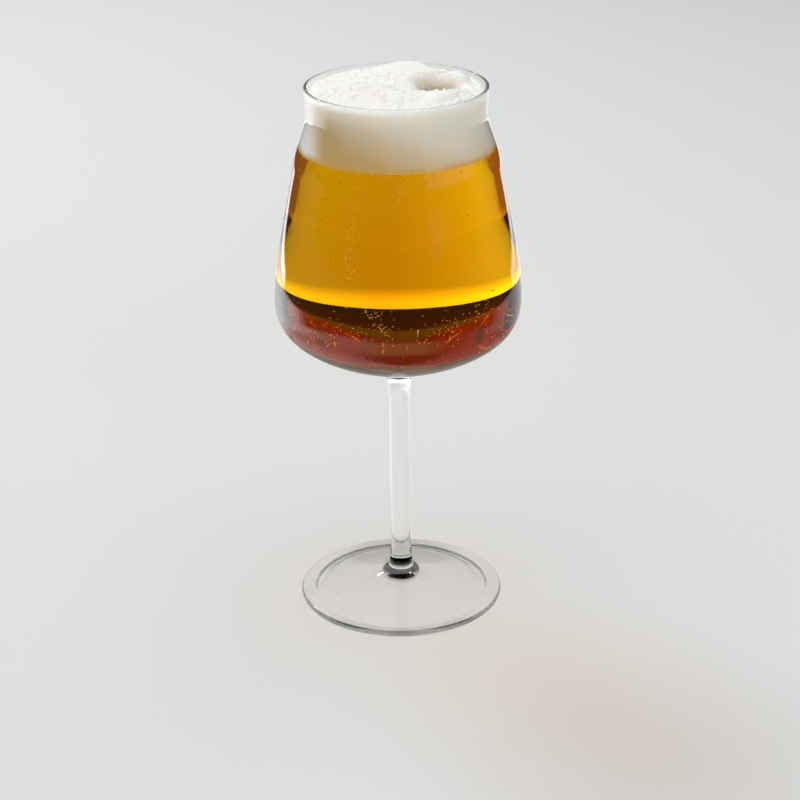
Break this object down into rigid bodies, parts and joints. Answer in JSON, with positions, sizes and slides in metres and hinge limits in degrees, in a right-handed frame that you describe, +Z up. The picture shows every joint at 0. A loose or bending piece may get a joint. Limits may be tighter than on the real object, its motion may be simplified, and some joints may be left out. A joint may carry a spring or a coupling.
{
  "type": "tulip beer glass",
  "caption": "Stemmed tulip beer glass with a thin pear-shaped bowl and flared lip on a slim stem and round foot, filled with golden beer under a foam head.",
  "frame": {"origin": "middle of the plane that the foot rests on", "axes": "+Z up along the glass's axis from the foot to the rim; +X to the right and -Y towards the viewer in the picture's view"},
  "size_m": [0.0906, 0.0906, 0.2029],
  "materials": {
    "clear_glass": "polished",
    "beer": "polished",
    "foam": "matte"
  },
  "bodies": {
    "root": {"bowl": "clear_glass", "stem": "clear_glass", "foot": "clear_glass", "beer": "beer", "foam_head": "foam"}
  },
  "joints": []
}
